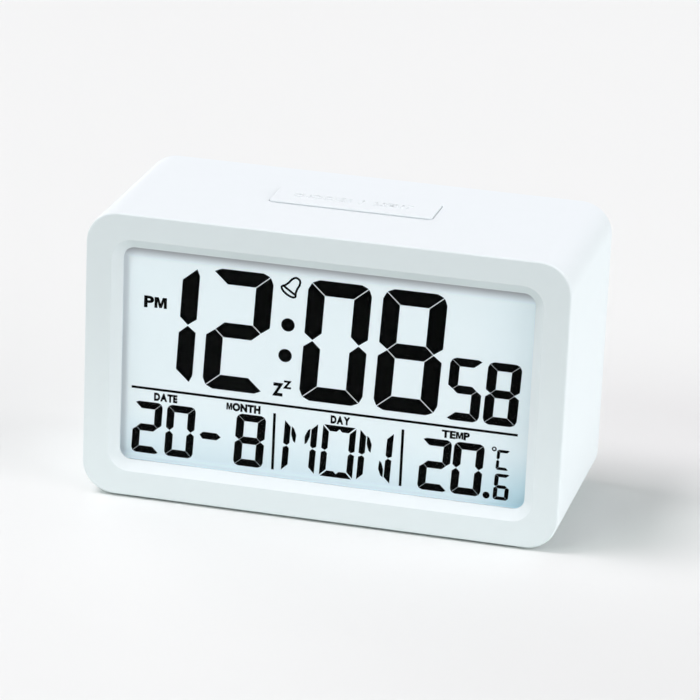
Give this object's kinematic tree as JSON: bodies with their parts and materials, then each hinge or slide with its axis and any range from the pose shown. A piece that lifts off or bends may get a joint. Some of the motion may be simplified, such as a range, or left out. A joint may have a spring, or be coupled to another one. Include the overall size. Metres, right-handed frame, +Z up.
{
  "type": "digital alarm clock",
  "caption": "Box-shaped digital alarm clock with a bevelled LCD window, a press-down snooze bar, rear keys, a slide switch, sound slots and a swing-out battery door.",
  "frame": {"origin": "on the table under the middle of the clock's box", "axes": "+X to the right seen from the front, +Y to the back, +Z up"},
  "size_m": [0.135, 0.058, 0.0832],
  "materials": {
    "white_plastic": "fine moulded texture",
    "knob_plastic": "satin",
    "clear_window": "polished",
    "lcd_glass": "satin polariser",
    "diffuser_film": "matt",
    "clear_acrylic": "polished",
    "carrier_plastic": "satin",
    "tape": "matt",
    "foam": "matt",
    "contact_rubber": "matt",
    "foot_rubber": "matt",
    "circuit_board": "solder mask",
    "led_resin": "glossy",
    "black_epoxy": "satin",
    "switch_plastic": "satin",
    "bright_can": "satin",
    "steel": "plated",
    "plated_spring": "nickel plated",
    "brass_plate": "satin",
    "ceramic": "fired silver",
    "cell_jacket": "printed film",
    "red_lead": "satin",
    "black_lead": "satin",
    "ribbon": "satin"
  },
  "bodies": {
    "case": {"backlight_leds": "led_resin", "backlight_strip": "circuit_board", "battery_lead_negative": "black_lead", "battery_lead_positive": "red_lead", "battery_lower": "cell_jacket", "battery_upper": "cell_jacket", "board_screws": "steel", "buzzer_ceramic": "ceramic", "buzzer_leads": "black_lead", "buzzer_plate": "brass_plate", "capacitors": "bright_can", "contact_springs": "plated_spring", "controller_blob": "black_epoxy", "cover_screws": "steel", "crystal": "bright_can", "diffuser_sheet": "diffuser_film", "display_carrier": "carrier_plastic", "display_window": "clear_window", "key_board": "circuit_board", "key_board_screws": "steel", "key_ribbon": "ribbon", "key_switches": "switch_plastic", "lcd_panel": "lcd_glass", "light_guide": "clear_acrylic", "link_contact": "plated_spring", "main_board": "circuit_board", "main_case": "white_plastic", "negative_contact": "plated_spring", "positive_contact": "plated_spring", "rear_cover": "white_plastic", "rubber_feet": "foot_rubber", "slide_switch": "switch_plastic", "snooze_board": "circuit_board", "snooze_ribbon": "ribbon", "snooze_screws": "steel", "snooze_switch": "switch_plastic", "thermistor": "black_epoxy", "window_gasket": "foam", "window_tape": "tape", "zebra_strips": "contact_rubber"},
    "snooze": {"snooze_bar": "white_plastic", "snooze_plunger": "switch_plastic"},
    "mode_key": {"button_mode": "white_plastic", "plunger_mode": "switch_plastic"},
    "up_key": {"button_up": "white_plastic", "plunger_up": "switch_plastic"},
    "down_key": {"button_down": "white_plastic", "plunger_down": "switch_plastic"},
    "alarm_key": {"button_alarm": "white_plastic", "plunger_alarm": "switch_plastic"},
    "alarm_switch": {"alarm_slider": "knob_plastic", "slide_actuator": "switch_plastic"},
    "door": {"battery_door": "white_plastic", "door_latch": "white_plastic"}
  },
  "joints": [
    {"name": "snooze_press", "type": "slide", "parent": "case", "child": "snooze", "axis": [0, 0, -1], "range_m": [0, 0.0005], "stiffness_N_per_m": 3000, "springref_m": -0.0003},
    {"name": "mode_press", "type": "slide", "parent": "case", "child": "mode_key", "axis": [0, -1, 0], "range_m": [0, 0.0005], "stiffness_N_per_m": 2500, "springref_m": -0.0003},
    {"name": "up_press", "type": "slide", "parent": "case", "child": "up_key", "axis": [0, -1, 0], "range_m": [0, 0.0005], "stiffness_N_per_m": 2500, "springref_m": -0.0003},
    {"name": "down_press", "type": "slide", "parent": "case", "child": "down_key", "axis": [0, -1, 0], "range_m": [0, 0.0005], "stiffness_N_per_m": 2500, "springref_m": -0.0003},
    {"name": "alarm_press", "type": "slide", "parent": "case", "child": "alarm_key", "axis": [0, -1, 0], "range_m": [0, 0.0005], "stiffness_N_per_m": 2500, "springref_m": -0.0003},
    {"name": "alarm_slide", "type": "slide", "parent": "case", "child": "alarm_switch", "axis": [1, 0, 0], "range_m": [0, 0.002]},
    {"name": "door_swing", "type": "hinge", "parent": "case", "child": "door", "pos_m": [0, 0.0276, 0.0158], "axis": [-1, 0, 0], "range_deg": [0, 75], "deforming": ["door_latch"]}
  ]
}
